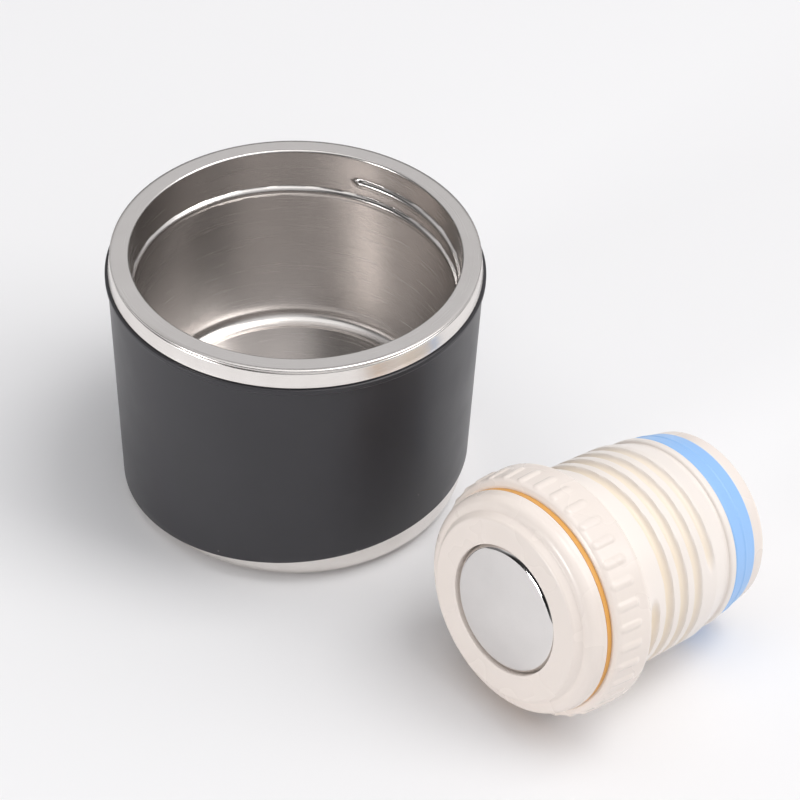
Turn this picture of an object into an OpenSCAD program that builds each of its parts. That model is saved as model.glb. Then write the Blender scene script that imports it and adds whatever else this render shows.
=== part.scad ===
// Drinking cup of a vacuum flask, standing on a table, with the flask's
// push-button pouring stopper lying beside it. Millimetres, +Z up, origin at
// the middle of the cup's base on the table.

/* [Cup] */
// Height of the cup, table to rim
cup_h = 64.8; // [55:0.1:80]
// Outer radius of the rim's flat ring
rim_r = 41.5; // [34:0.1:50]
// Width of the rim's flat ring
rim_w = 4.4; // [3:0.1:6]
// Thickness of the pressed steel sheet
sheet_t = 0.7; // [0.5:0.05:0.9]
// Height of the bare steel band under the rim
band_h = 4; // [3:0.1:6]
// How much wider the band's lower edge is than the rim
band_flare = 0.5; // [0.1:0.05:1]
// Height of the drinking floor above the table
floor_z = 16; // [10:0.1:20]
// How much the liner narrows from the thread to the floor
liner_draft = 1.2; // [0.5:0.1:3]
// Fillet between the liner's wall and floor
floor_fillet = 3; // [1.5:0.1:5]
// Width of the low ring round the raised middle of the floor
floor_ring_w = 0.9; // [0.9:0.1:8]
// Height of the raised middle of the floor
floor_step = 0.4; // [0.2:0.05:0.6]
// Radius of the rounded foot
foot_fillet = 4.8; // [3:0.1:6]
// Width of the flat foot ring round the base disc
foot_ring_w = 4.8; // [3.8:0.1:12]
// How far the base disc laps over the foot
base_lap = 3; // [1:0.1:3.5]

/* [Cup thread] */
// Depth of the plain land above the thread
land_h = 5.4; // [4:0.1:6.4]
// Depth of the wall that holds the thread
thread_zone_h = 10.4; // [8:0.1:14]
// How much narrower the thread's wall is than the plain land
zone_step = 0.4; // [0.2:0.05:0.5]
// Radius of the rolled thread bead
bead_r = 1.3; // [0.8:0.1:1.6]
// How far the bead stands out into the cup
bead_proud = 0.6; // [0.5:0.1:1.2]
// Pitch of the cup's thread
cup_pitch = 4.5; // [3.6:0.1:5]
// Half turns of the cup's thread
cup_halves = 3; // [2:1:3]
// Direction in which the bead's upper end lies, from +X towards +Y
bead_turn = 66; // [0:1:359]

/* [Sleeve] */
// How far the sleeve stands out past the band, just under its lip
sleeve_proud = 0.15; // [0.05:0.05:0.6]
// How much the sleeve narrows from its lip to the table's level
sleeve_taper = 1.75; // [0.5:0.05:3]
// Wall thickness of the sleeve
sleeve_t = 0.9; // [0.6:0.05:1.2]
// How far the lip stands proud of the sleeve
lip_proud = 0.5; // [0.2:0.05:0.8]
// Height of the lip
lip_h = 1.2; // [0.8:0.1:2]
// Height of the slanted lower edge at the cup's axis
edge_z = 5.8; // [4.5:0.1:9]
// Slant of the lower edge
edge_slant = 5.2; // [0:0.1:6]
// Direction in which the lower edge is highest, from +X towards +Y
edge_turn = -21; // [-180:1:180]

/* [Stopper body] */
// Length of the stopper, tail to head
stop_h = 60.2; // [52:0.1:70]
// Largest radius of the grip ring
grip_r = 27.4; // [26.8:0.1:29]
// Radius of the grip ring's front edge
grip_front_r = 25.5; // [25.2:0.1:26.2]
// Length of the grip ring
grip_h = 10.2; // [9.5:0.1:11.5]
// Rounding of the grip ring's edges
grip_edge = 1.5; // [0.8:0.1:1.8]
// How much narrower the grip ring is at its front than at its rear
grip_taper = 0.5; // [0.1:0.1:1]
// Number of grip ribs
grip_rib_count = 36; // [18:1:40]
// Length of a grip rib between the middles of its round ends
grip_rib_len = 4.3; // [2:0.1:5]
// Radius of a grip rib's round back
grip_rib_r = 1.2; // [0.8:0.1:1.4]
// How far a grip rib stands proud of the ring
grip_rib_proud = 0.35; // [0.2:0.05:0.5]
// Distance from the ring's front edge to the middle of a rib's front end
grip_rib_front = 1.5; // [1.5:0.1:2.5]
// Radius of the neck under the grip ring
neck_top_r = 23.6; // [23.4:0.05:24.2]
// Radius of the neck where the thread ends
neck_low_r = 23.15; // [23:0.05:23.6]
// Radius of the neck just above the flange
neck_end_r = 22; // [21.6:0.05:22.2]
// Height of the thread's end above the tail
thread_z = 20.2; // [19:0.1:22]
// Pitch of the stopper's thread
pitch = 4.55; // [4:0.05:4.8]
// Least plain neck between the thread and the grip ring
thread_clear = 4.5; // [3:0.1:10]
// Radius of the groove's round bottom
groove_r = 1.35; // [1:0.05:1.6]
// Radius at which the groove's bottom lies
groove_floor_r = 22.35; // [22.2:0.05:22.6]
// Direction in which the thread starts, about the stopper's axis
thread_turn = 110; // [0:1:359]
// Radius of the flange above the neck seal
flange_r = 22.36; // [22.2:0.02:22.8]
// Length of the flange
flange_h = 1.95; // [1.5:0.05:2.5]
// Length of the neck seal
seal_h = 7.6; // [6:0.1:8]
// Length of the tail cap's disc
tail_h = 3.7; // [3.4:0.1:4.5]
// How much narrower the tail cap is than the flange
tail_in = 1.9; // [1.8:0.05:2.4]
// Wall thickness of the moulded tubes
wall = 2; // [1.6:0.1:2.2]

/* [Stopper head] */
// Largest radius of the head cap
head_r = 25; // [24.6:0.1:25.4]
// Length of the head cap's outer part
head_h = 5.8; // [5.4:0.1:7]
// Rounding of the head cap's shoulder
head_round = 2.6; // [2:0.1:2.8]
// Width of the rounded shoulder outside the head cap's flat face
shoulder_w = 4; // [3.6:0.1:5]
// Depth of the step round the flat face
face_step = 1.8; // [1:0.05:2]
// Rounding of the flat face's edge
face_edge = 0.8; // [0.3:0.05:1]
// Radius of the bore that the button slides in
button_bore_r = 14.75; // [14:0.05:15.2]
// Width of the gap between head cap and grip ring
gap_h = 1.15; // [0.9:0.05:1.6]
// How far the amber seal lies back from the head cap's edge
gap_depth = 0.1; // [0:0.05:1]
// Width of one pour slot
slot_w = 5; // [3:0.1:6]
// Direction of the pour slots, about the stopper's axis
slot_turn = -45; // [-180:1:180]

/* [Button and valve] */
// Travel of the button and the valve
press = 5; // [3:0.1:5]
// Rise of the button's domed face
dome = 0.5; // [0.2:0.05:1]
// Rounding of the button's edge
button_edge = 1.4; // [0.8:0.1:1.8]
// Length of the button's skirt
skirt_h = 8.6; // [8:0.1:9]
// Wall thickness of the button
button_t = 1.2; // [1:0.1:1.4]
// Radius of the valve stem
stem_r = 3; // [2.4:0.1:3]
// Radius of the port that the valve closes
port_r = 10; // [9:0.1:10.6]
// Distance from the head's face down to the guide web
web_drop = 30.1; // [29.6:0.1:31]
// Thickness of the guide web
web_t = 2.5; // [2:0.1:2.5]
// Flow holes through the guide web
flow_count = 6; // [4:1:8]
// Radius of a flow hole
flow_r = 2.6; // [1.5:0.1:3]
// Teeth on the latch's cams
tooth_count = 8; // [4:2:12]
// Wire radius of both springs
wire_r = 0.45; // [0.3:0.05:0.55]
// Radius of the button's spring, to the middle of its wire
button_coil_r = 10; // [10:0.1:11]
// Radius of the valve's spring, to the middle of its wire
valve_coil_r = 5; // [4.6:0.1:5.4]

/* [Lying stopper] */
// Where the middle of the head's face lies, along X
lie_x = 43.96; // [40:0.01:120]
// Where the middle of the head's face lies, along Y
lie_y = -77.43; // [-120:0.01:-74]
// Direction in which the head points, from +X towards +Y
lie_turn = 220; // [200:1:240]

/* [Clearances] */
// Gap between the button and its bore, on the radius
button_gap = 0.15; // [0.1:0.05:0.3]
// Gap of a sliding guide, on the radius
slide_gap = 0.05; // [0.02:0.01:0.1]
// Gap between pieces that are put together
seat_gap = 0.1; // [0.05:0.05:0.15]
// Gap between pieces that move past each other
run_gap = 0.3; // [0.2:0.05:0.4]

/* [Hidden] */
$fn = 96;

// Colours
steel = [0.72, 0.69, 0.67];
black = [0.16, 0.16, 0.17];
ivory = [0.95, 0.91, 0.87];
amber = [0.92, 0.66, 0.33];
blue = [0.55, 0.74, 0.98];
chrome = [0.82, 0.82, 0.83];
clear_rubber = [0.86, 0.86, 0.84];

// Overshoot of a cut past a face
cut = 1;

// Cup: rim, land and thread wall, from the top down
rim_edge = 0.6;
rim_outer_edge = 0.35;
rim_low_z = cup_h - sheet_t;
mouth_r = rim_r - rim_w;
land_low_z = cup_h - land_h;
zone_r = mouth_r - zone_step;
zone_top_z = land_low_z - zone_step;
zone_low_z = land_low_z - thread_zone_h;
liner_low_r = zone_r - liner_draft;
floor_disc_r = liner_low_r - floor_fillet - floor_ring_w;
bead_path_r = zone_r + bead_r - bead_proud;
bead_low_z = zone_top_z - bead_r - cup_pitch * cup_halves / 2;

// Cup: band, sleeve seat and foot
band_low_z = rim_low_z - band_h;
band_edge = 0.4;
band_foot = 0.15;
band_r = rim_r + band_flare;
band_top_r = rim_r + slide_gap;
wall_top_r = rim_r - sheet_t - band_edge;
sleeve_top_r = band_r + sleeve_proud;
sleeve_low_r = sleeve_top_r - sleeve_taper;
sleeve_slope = (sleeve_top_r - sleeve_low_r) / band_low_z;
function sleeve_r(z) = sleeve_low_r + sleeve_slope * z;
function seat_r(z) = sleeve_r(z) - sleeve_t - slide_gap;
foot_r = seat_r(foot_fillet) - foot_fillet;
base_r = foot_r - foot_ring_w;

// Stopper: heights above the tail, along its axis
tail_seal_z = tail_h + seat_gap / 2;
flange_low_z = tail_h + seal_h + seat_gap;
flange_top_z = flange_low_z + flange_h;
head_low_z = stop_h - head_h;
grip_top_z = head_low_z - gap_h;
grip_low_z = grip_top_z - grip_h;
grip_rib_z = grip_top_z - grip_rib_front - grip_rib_len / 2;
thread_end_z = thread_z - groove_r;
thread_halves = floor(2 * (grip_low_z - thread_clear - thread_z) / pitch);
web_z = stop_h - web_drop;

// Head cap: wall under its face, small edges, taper of its side, lap of its pour slots
face_t = 2.4;
head_edge = 0.4;
head_taper = 0.2;
slot_lap = 0.8;

// Stopper: radii from the outside in
socket_t = 1.2;
chamber_t = 2.4;
spigot_in = 0.7;
spigot_t = 2.3;
socket_r = groove_floor_r - socket_t;
plug_r = socket_r - slide_gap * 3;
chamber_r = neck_end_r - chamber_t;
spigot_r = chamber_r - spigot_in;
spigot_bore_r = spigot_r - spigot_t;
tail_tube_r = spigot_bore_r - seat_gap;
tail_r = flange_r - tail_in;

// Latch: the fixed sleeve stands on the web, under the head cap's plug
web_top_z = web_z + web_t;
latch_flange_t = 1.5;
core_play = 1;
core_t = 2.2;
lug_proud = 0.9;
collar_w = 1.6;
rotor_skirt = 1.5;
rotor_head = 0.4;
rib_h = 2.9;
latch_z = web_top_z + latch_flange_t;
core_bore_r = stem_r + core_play;
core_tube_r = core_bore_r + core_t;
lug_r = core_tube_r + lug_proud;
latch_bore_r = lug_r + run_gap;
latch_tube_t = 1.6;
tooth_h = 1.2;
lug_h = 3.2;
collar_r = stem_r + collar_w;
collar_t = 1.4;
collar_z = web_top_z + press + cut;
rotor_z = collar_z + collar_t + seat_gap;
rotor_lug_z = rotor_z + rotor_skirt;
rotor_top_z = rotor_lug_z + lug_h + rotor_head;
rib_low_z = rotor_lug_z + lug_h + run_gap;
latch_top_z = rib_low_z + rib_h;
core_low_z = rotor_top_z + tooth_h + run_gap;

// Button: face, skirt and the core that fills it
button_r = button_bore_r - button_gap;
button_in_r = button_r - button_t;
button_drop = 0.15;
shoulder_z = stop_h - button_drop;
skirt_low_z = stop_h - skirt_h;
core_clear = 0.5;
core_disc_z = latch_top_z + press + core_clear;
core_disc_t = 2;
core_r = button_in_r - seat_gap;
ring_r = 0.65;
ring_path_r = button_bore_r - seat_gap - ring_r;
ring_seat_t = 0.7;
core_flange_z = skirt_low_z - 2 * ring_r - seat_gap - ring_seat_t;
guide_low_z = core_flange_z - press - run_gap;

// Valve: plug and seal in the tail's recess, spring on the tail's hub
recess_t = 0.7;
recess_w = 3.2;
hub_w = 3.2;
hub_h = 3;
recess_h = tail_h - recess_t;
recess_r = port_r + recess_w;
seat_t = 1.6;
plug_z = 0.4;
plug_t = 1.5;
plug_disc_r = recess_r - 2 * run_gap;
seal_low_z = plug_z + plug_t;
seal_top_z = recess_h - seat_gap;
hub_r = stem_r + hub_w;
hub_top_z = recess_h + hub_h;
arm_angle = 18;
arm_count = 3;
boss_r = hub_r - run_gap;
clip_t = 1.5;
clip_drop = 2.7;
clip_z = web_z - run_gap - clip_t - clip_drop;

// Springs: whole half turns that fill the room between two seats
coil_lean = 0.07584;
function half_rise(path_r) = 2 * path_r * coil_lean;
function coil_halves(path_r, room) = floor((room - 2 * (wire_r + seat_gap)) / half_rise(path_r));
button_halves = coil_halves(button_coil_r, core_disc_z - latch_z);
valve_halves = coil_halves(valve_coil_r, clip_z - hub_top_z);

// The lying stopper rests on the rounded edges of its grip ring and flange
flange_edge = 0.3;
grip_rest = [grip_low_z + grip_edge, grip_r - grip_edge];
flange_rest = [flange_low_z + flange_edge, flange_r - flange_edge];
rest_span = grip_rest - flange_rest;
lie_rise = atan(rest_span[1] / rest_span[0]) + asin((grip_edge - flange_edge) / norm(rest_span));
lie_z = grip_rest[1] * cos(lie_rise) + grip_edge + (stop_h - grip_rest[0]) * sin(lie_rise);

// Points of a round arc about a centre, from one angle to another
function arc(centre, r, from, to, steps = 6) = [
    for (i = [0 : steps])
        let (a = from + (to - from) * i / steps)
            [centre[0] + r * cos(a), centre[1] + r * sin(a)]
];

// Middle of a coil's wire after some half turns
function coil_point(path_r, rise, halves) =
    let (k = floor(halves), a = 180 * (halves - k) - 90)
        [path_r * cos(a + 180 * k), path_r * sin(a + 180 * k),
            rise / 2 * (k + sin(a) / 2)];

// Least clear gap between one turn of a coil and the next
function coil_gap(path_r, rise, r) =
    min([for (i = [0 : 16], j = [-4 : 4])
        norm(coil_point(path_r, rise, i / 8) - coil_point(path_r, rise, 2 + (i + j) / 8))]) - 2 * r;

// One half turn of a screw line: a half ring, tipped to climb half a pitch
module half_turn(path_r, tube_r, rise, k) {
    lean = asin(rise / 4 / path_r);
    side = k % 2 == 0 ? 1 : -1;
    translate([0, 0, k * rise / 2])
        rotate([side * lean, 0, 0])
            rotate([0, 0, side * -90])
                rotate_extrude(angle = 180)
                    translate([path_r, 0])
                        circle(r = tube_r, $fn = 32);
}

// A round bar wound along a screw line, starting at angle 0 and height 0
module screw_line(path_r, tube_r, rise, halves) {
    translate([0, 0, rise / 4])
        rotate([0, 0, 90])
            for (k = [0 : halves - 1])
                half_turn(path_r, tube_r, rise, k);
}

// Round ends of a screw line
module screw_ends(path_r, tube_r, rise, halves) {
    for (k = [0, halves])
        rotate([0, 0, 180 * k])
            translate([path_r, 0, k * rise / 2])
                sphere(r = 0.95 * tube_r, $fn = 32);
}

// A flat ring
module ring(outer_r, inner_r, low, high) {
    translate([0, 0, low])
        difference() {
            cylinder(h = high - low, r = outer_r);
            translate([0, 0, -cut])
                cylinder(h = high - low + 2 * cut, r = inner_r);
        }
}

// Holes that let the drink through the web and the latch's flange
module flow_holes(low, high) {
    hole_path_r = (socket_r - wall + latch_bore_r + latch_tube_t) / 2 - 0.6;
    for (i = [0 : flow_count - 1])
        rotate([0, 0, (i + 0.5) * 360 / flow_count])
            translate([hole_path_r, 0, low - cut])
                cylinder(h = high - low + 2 * cut, r = flow_r);
}

// Three pour slots side by side, cut outwards from the axis
module pour_slots(low, high) {
    for (i = [-1 : 1])
        rotate([0, 0, slot_turn + i * 20])
            translate([socket_r - 2 * wall, -slot_w / 2, low])
                cube([4 * wall + gap_depth, slot_w, high - low]);
}

// A ring of slanted cam teeth that point up, let a little into what carries them
module cam_teeth(low, reach) {
    root = 0.3;
    for (i = [0 : tooth_count - 1])
        rotate([0, 0, i * 360 / tooth_count])
            translate([core_bore_r - root, 0, low])
                rotate([90, 0, 90])
                    linear_extrude(height = reach)
                        polygon([[-1, -root], [1, -root], [1, tooth_h]]);
}

// Puts an upright stopper piece where it lies on the table
module lay() {
    translate([lie_x, lie_y, lie_z])
        rotate([0, 90 - lie_rise, lie_turn])
            translate([0, 0, -stop_h])
                children();
}

// Inner shell of the cup: rim, thread, wall and drinking floor
module cup_liner() {
    fillet_c = [liner_low_r - floor_fillet, floor_z + floor_fillet];
    color(steel) {
        rotate_extrude()
            polygon(concat(
                [[0, floor_z + floor_step], [floor_disc_r, floor_z + floor_step],
                    [floor_disc_r + 2 * floor_step, floor_z]],
                arc(fillet_c, floor_fillet, -90, 0),
                [[zone_r, zone_low_z], [zone_r, zone_top_z], [mouth_r, land_low_z]],
                arc([mouth_r + rim_edge, cup_h - rim_edge], rim_edge, 180, 90),
                arc([rim_r - rim_outer_edge, cup_h - rim_outer_edge], rim_outer_edge, 90, 0),
                [[rim_r, rim_low_z + band_foot], [rim_r - band_foot, rim_low_z],
                    [mouth_r + sheet_t, rim_low_z], [mouth_r + sheet_t, land_low_z],
                    [zone_r + sheet_t, zone_top_z], [zone_r + sheet_t, zone_low_z]],
                arc(fillet_c, floor_fillet + sheet_t, 0, -90),
                [[floor_disc_r + 2 * floor_step, floor_z - sheet_t],
                    [floor_disc_r, floor_z + floor_step - sheet_t],
                    [0, floor_z + floor_step - sheet_t]]));
        intersection() {
            rotate([0, 0, bead_turn - 180 * cup_halves])
                translate([0, 0, bead_low_z]) {
                    screw_line(bead_path_r, bead_r, cup_pitch, cup_halves);
                    screw_ends(bead_path_r, bead_r, cup_pitch, cup_halves);
                }
            cylinder(h = cup_h, r = zone_r + sheet_t / 2);
        }
    }
}

// Outer shell of the cup: bare band, seat of the sleeve and rounded foot
module cup_wall() {
    foot_c = [foot_r, foot_fillet];
    seat_top_r = seat_r(band_low_z);
    color(steel)
        rotate_extrude()
            polygon(concat(
                [[wall_top_r, rim_low_z]],
                arc([band_top_r - band_edge, rim_low_z - band_edge], band_edge, 90, 0, 4),
                [[band_r, band_low_z + band_foot], [band_r - band_foot, band_low_z],
                    [seat_top_r, band_low_z]],
                arc(foot_c, foot_fillet, 0, -90, 8),
                [[base_r, 0], [base_r, sheet_t]],
                arc(foot_c, foot_fillet - sheet_t, -90, 0, 8),
                [[seat_top_r - sheet_t, band_low_z - sheet_t],
                    [wall_top_r, band_low_z + sheet_t]]));
}

// Base disc, let into the foot and lapped over it inside
module cup_base() {
    disc_r = base_r - slide_gap;
    color(steel)
        rotate_extrude()
            polygon([[0, 0], [disc_r, 0], [disc_r, sheet_t], [base_r + base_lap, sheet_t],
                [base_r + base_lap, 2 * sheet_t], [disc_r - sheet_t, 2 * sheet_t],
                [disc_r - sheet_t, sheet_t], [0, sheet_t]]);
}

// Black sleeve with a lip under the band and a slanted lower edge
module cup_sleeve() {
    lip_r = sleeve_r(band_low_z) + lip_proud;
    reach = 2 * lip_r;
    color(black)
        difference() {
            rotate_extrude()
                polygon(concat(
                    [[sleeve_r(0) - sleeve_t, 0], [sleeve_r(0), 0],
                        [sleeve_r(band_low_z - 1.6 * lip_h), band_low_z - 1.6 * lip_h],
                        [lip_r, band_low_z - lip_h]],
                    arc([lip_r - 0.2, band_low_z - 0.2], 0.2, 0, 90, 3),
                    [[sleeve_r(band_low_z) - sleeve_t, band_low_z]]));
            rotate([0, 0, edge_turn])
                translate([0, 0, edge_z])
                    rotate([0, -edge_slant, 0])
                        translate([-reach, -reach, -reach])
                            cube([2 * reach, 2 * reach, reach]);
        }
}

// Outline of the stopper's body, solid
module body_outline() {
    corner_z = grip_top_z - grip_edge;
    bulge_r = grip_r - grip_taper;
    rotate_extrude()
        polygon(concat(
            [[0, tail_seal_z], [spigot_r, tail_seal_z], [spigot_r, flange_low_z]],
            arc([flange_rest[1], flange_rest[0]], flange_edge, -90, 0, 3),
            arc([flange_r - 0.5, flange_top_z - 0.5], 0.5, 0, 90, 3),
            [[neck_end_r - 0.1, flange_top_z], [neck_end_r, flange_top_z + 0.3],
                [neck_low_r, thread_end_z], [neck_top_r, grip_low_z - 0.6],
                [neck_top_r + 0.6, grip_low_z]],
            arc([grip_rest[1], grip_rest[0]], grip_edge, -90, 0),
            arc([bulge_r - grip_edge, corner_z], grip_edge, 0, 60),
            [[grip_front_r, grip_top_z], [0, grip_top_z]]));
}

// One grip rib: a bar with round ends
module grip_rib() {
    translate([0, 0, -grip_rib_len / 2])
        cylinder(h = grip_rib_len, r = grip_rib_r, $fn = 24);
    for (side = [-1, 1])
        translate([0, 0, side * grip_rib_len / 2])
            sphere(r = 0.98 * grip_rib_r, $fn = 24);
}

// Moulded body: grip ring, screw neck, flange and spigot, hollow right through
module stopper_body() {
    side_slope = grip_taper / (grip_h - 2 * grip_edge);
    rib_side_r = grip_r - side_slope * (grip_rib_z - grip_low_z - grip_edge);
    rib_path_r = rib_side_r + grip_rib_proud - grip_rib_r;
    groove_path_r = groove_floor_r + groove_r;
    color(ivory)
        lay()
            difference() {
                union() {
                    body_outline();
                    for (i = [0 : grip_rib_count - 1])
                        rotate([0, 0, i * 360 / grip_rib_count])
                            translate([rib_path_r, 0, grip_rib_z])
                                rotate([0, -atan(side_slope), 0])
                                    grip_rib();
                }
                translate([0, 0, thread_z])
                    rotate([0, 0, thread_turn])
                        screw_line(groove_path_r, groove_r, pitch, thread_halves);
                translate([0, 0, thread_z])
                    rotate([0, 0, thread_turn])
                        screw_ends(groove_path_r, groove_r, pitch, thread_halves);
                translate([0, 0, web_top_z])
                    cylinder(h = stop_h, r = socket_r);
                translate([0, 0, flange_top_z + wall])
                    cylinder(h = web_z - flange_top_z - wall, r = chamber_r);
                cylinder(h = web_z, r = spigot_bore_r);
                cylinder(h = stop_h, r = stem_r + slide_gap);
                flow_holes(web_z, web_top_z);
            }
}

// Head cap: rounded face, plug that holds the latch down and button guide
module head_cap() {
    face_z = stop_h - face_t;
    face_r = head_r - shoulder_w;
    shoulder_c = [head_r - head_taper - head_round, stop_h - face_step - head_round];
    color(ivory)
        lay()
            difference() {
                rotate_extrude()
                    polygon(concat(
                        arc([button_bore_r + head_edge, stop_h - head_edge], head_edge, 180, 90, 3),
                        arc([face_r - face_edge, stop_h - face_edge], face_edge, 90, 30, 4),
                        arc(shoulder_c, head_round, 90, 0, 10),
                        arc([head_r - head_edge, head_low_z + head_edge], head_edge, 0, -90, 3),
                        [[plug_r, head_low_z], [plug_r, latch_z], [plug_r - wall, latch_z],
                            [plug_r - wall, face_z], [button_bore_r + wall, face_z],
                            [button_bore_r + wall, guide_low_z], [button_bore_r, guide_low_z]]));
                pour_slots(grip_top_z - slot_lap, head_low_z - slot_lap / 2);
            }
}

// Amber seal in the gap under the head cap, with pour slots on one side
module gap_seal() {
    color(amber)
        lay()
            difference() {
                ring(head_r - gap_depth, plug_r + seat_gap, grip_top_z, head_low_z);
                pour_slots(grip_top_z - cut, grip_top_z + gap_h / 2);
            }
}

// Fixed sleeve of the push-push latch, with ribs that end over the rotor
module latch_sleeve() {
    rib_r = core_tube_r + run_gap;
    color(ivory)
        lay()
            difference() {
                union() {
                    ring(plug_r, latch_bore_r, web_top_z, latch_z);
                    ring(latch_bore_r + latch_tube_t, latch_bore_r, web_top_z, latch_top_z);
                    ring(latch_bore_r + latch_tube_t / 2, rib_r, rib_low_z, latch_top_z);
                }
                for (i = [0 : tooth_count / 2 - 1])
                    rotate([0, 0, i * 720 / tooth_count])
                        translate([0, -lug_r / 4, rib_low_z - cut])
                            cube([latch_bore_r, lug_r / 2, latch_top_z]);
                flow_holes(web_top_z, latch_z);
            }
}

// Chromed button: shallow dome, rounded edge and skirt
module push_button() {
    edge_c = [button_r - button_edge, shoulder_z - button_edge];
    dome_r = (pow(edge_c[0], 2) + pow(dome, 2)) / (2 * dome);
    dome_end = asin(edge_c[0] / dome_r);
    color(chrome)
        lay()
            rotate_extrude()
                polygon(concat(
                    arc([0, shoulder_z + dome - dome_r], dome_r, 90, 90 - dome_end, 8),
                    arc(edge_c, button_edge, 80, 0),
                    [[button_r, skirt_low_z], [button_in_r, skirt_low_z],
                        [button_in_r, edge_c[1]], [0, edge_c[1]]]));
}

// Core inside the button: spring seat, seal seat and cam teeth
module button_core() {
    button_floor_z = shoulder_z - button_edge;
    color(ivory)
        lay() {
            difference() {
                union() {
                    translate([0, 0, core_disc_z])
                        cylinder(h = core_disc_t, r = core_r);
                    ring(core_r, core_r - 0.9, core_flange_z, core_disc_z + core_disc_t);
                    ring(ring_path_r + 0.2, core_r - 0.9, core_flange_z, core_flange_z + ring_seat_t);
                    translate([0, 0, core_low_z])
                        cylinder(h = button_floor_z - core_low_z, r = core_tube_r);
                }
                translate([0, 0, core_low_z - cut])
                    cylinder(h = core_disc_z - core_low_z + cut, r = core_bore_r);
                cam_teeth(core_low_z, core_tube_r);
            }
        }
}

// Rubber ring between the button's skirt and its core
module button_seal() {
    color(clear_rubber)
        lay()
            rotate_extrude()
                translate([ring_path_r, skirt_low_z - ring_r - seat_gap / 2])
                    circle(r = ring_r, $fn = 32);
}

// Spring that lifts the button
module button_spring() {
    color(chrome)
        lay()
            translate([0, 0, latch_z + wire_r + seat_gap])
                screw_line(button_coil_r, wire_r, 2 * half_rise(button_coil_r), button_halves);
}

// Rotor of the latch: turns under the ribs each time the button is pressed
module latch_rotor() {
    bore_r = stem_r + slide_gap;
    color(ivory)
        lay()
            difference() {
                union() {
                    translate([0, 0, rotor_z])
                        cylinder(h = rotor_top_z - rotor_z, r = core_tube_r);
                    cam_teeth(rotor_top_z, core_tube_r - core_bore_r);
                    for (i = [0 : tooth_count / 2 - 1])
                        rotate([0, 0, i * 720 / tooth_count])
                            intersection() {
                                ring(lug_r, core_bore_r, rotor_lug_z, rotor_lug_z + lug_h);
                                translate([0, -lug_r / 7, 0])
                                    cube([lug_r, 2 * lug_r / 7, stop_h]);
                            }
                }
                translate([0, 0, rotor_z - cut])
                    cylinder(h = rotor_top_z - rotor_z - 0.2 * lug_h, r = bore_r);
            }
}

// Valve stem, with the collar that carries the rotor
module valve_stem() {
    stem_top_z = rotor_top_z - 0.2 * lug_h - cut - run_gap;
    color(clear_rubber)
        lay() {
            translate([0, 0, plug_z])
                cylinder(h = stem_top_z - plug_z, r = stem_r);
            ring(collar_r, stem_r - 0.5, collar_z, collar_z + collar_t);
        }
}

// Clip on the stem that the valve's spring pushes
module spring_seat() {
    color(chrome)
        lay()
            ring(valve_coil_r + 2 * wire_r, stem_r + seat_gap / 2, clip_z, clip_z + clip_t);
}

// Spring that pulls the valve shut
module valve_spring() {
    color(chrome)
        lay()
            translate([0, 0, hub_top_z + wire_r + seat_gap])
                screw_line(valve_coil_r, wire_r, 2 * half_rise(valve_coil_r), valve_halves);
}

// Plug of the valve, with a boss that centres its seal
module valve_plug() {
    color(ivory)
        lay() {
            ring(plug_disc_r, stem_r + seat_gap / 2, plug_z, seal_low_z);
            ring(boss_r, stem_r + seat_gap / 2, plug_z, seal_top_z - seat_gap);
        }
}

// Soft washer that closes the port
module valve_seal() {
    color(clear_rubber)
        lay()
            ring(plug_disc_r - run_gap, boss_r + seat_gap, seal_low_z, seal_top_z);
}

// Tail cap: end disc, valve seat, stem guide and tube that plugs into the body
module tail_cap() {
    tube_top_z = flange_low_z + 0.3;
    seat_top_z = recess_h + seat_t;
    guide_r = stem_r + slide_gap;
    edge = 1.2;
    color(ivory)
        lay()
            difference() {
                rotate_extrude()
                    polygon(concat(
                        [[guide_r, recess_h], [recess_r, recess_h], [recess_r, 0]],
                        arc([tail_r - edge, edge], edge, -90, 0),
                        [[tail_r, tail_h], [tail_tube_r, tail_h], [tail_tube_r, tube_top_z],
                            [tail_tube_r - wall, tube_top_z], [tail_tube_r - wall, seat_top_z],
                            [hub_r, seat_top_z], [hub_r, hub_top_z], [guide_r, hub_top_z]]));
                for (i = [0 : arm_count - 1])
                    rotate([0, 0, i * 360 / arm_count])
                        rotate_extrude(angle = 360 / arm_count - arm_angle)
                            translate([hub_r + run_gap, recess_h - cut])
                                square([port_r - hub_r - run_gap, seat_t + 2 * cut]);
            }
}

// Blue seal that stops the flask's neck, with a low ridge round its middle
module neck_seal() {
    seal_top_r = flange_r - 0.2;
    seal_end_r = tail_r + 0.5;
    mid_z = tail_h + seat_gap / 2 + seal_h / 2;
    color(blue)
        lay()
            rotate_extrude()
                polygon(concat(
                    [[spigot_r + slide_gap, tail_seal_z]],
                    arc([seal_end_r - 0.5, tail_seal_z + 0.5], 0.5, -90, 0, 3),
                    [[(seal_top_r + seal_end_r) / 2, mid_z - 0.5],
                        [(seal_top_r + seal_end_r) / 2 + 0.12, mid_z],
                        [(seal_top_r + seal_end_r) / 2 + 0.08, mid_z + 0.5]],
                    arc([seal_top_r - 0.4, tail_seal_z + seal_h - 0.4], 0.4, 0, 90, 3),
                    [[spigot_r + slide_gap, tail_seal_z + seal_h]]));
}

echo(button_spring_gap = coil_gap(button_coil_r, 2 * half_rise(button_coil_r), wire_r),
    valve_spring_gap = coil_gap(valve_coil_r, 2 * half_rise(valve_coil_r), wire_r));

cup_liner();
cup_wall();
cup_base();
cup_sleeve();
stopper_body();
head_cap();
gap_seal();
latch_sleeve();
push_button();
button_core();
button_seal();
button_spring();
latch_rotor();
valve_stem();
spring_seat();
valve_spring();
valve_plug();
valve_seal();
tail_cap();
neck_seal();
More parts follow.
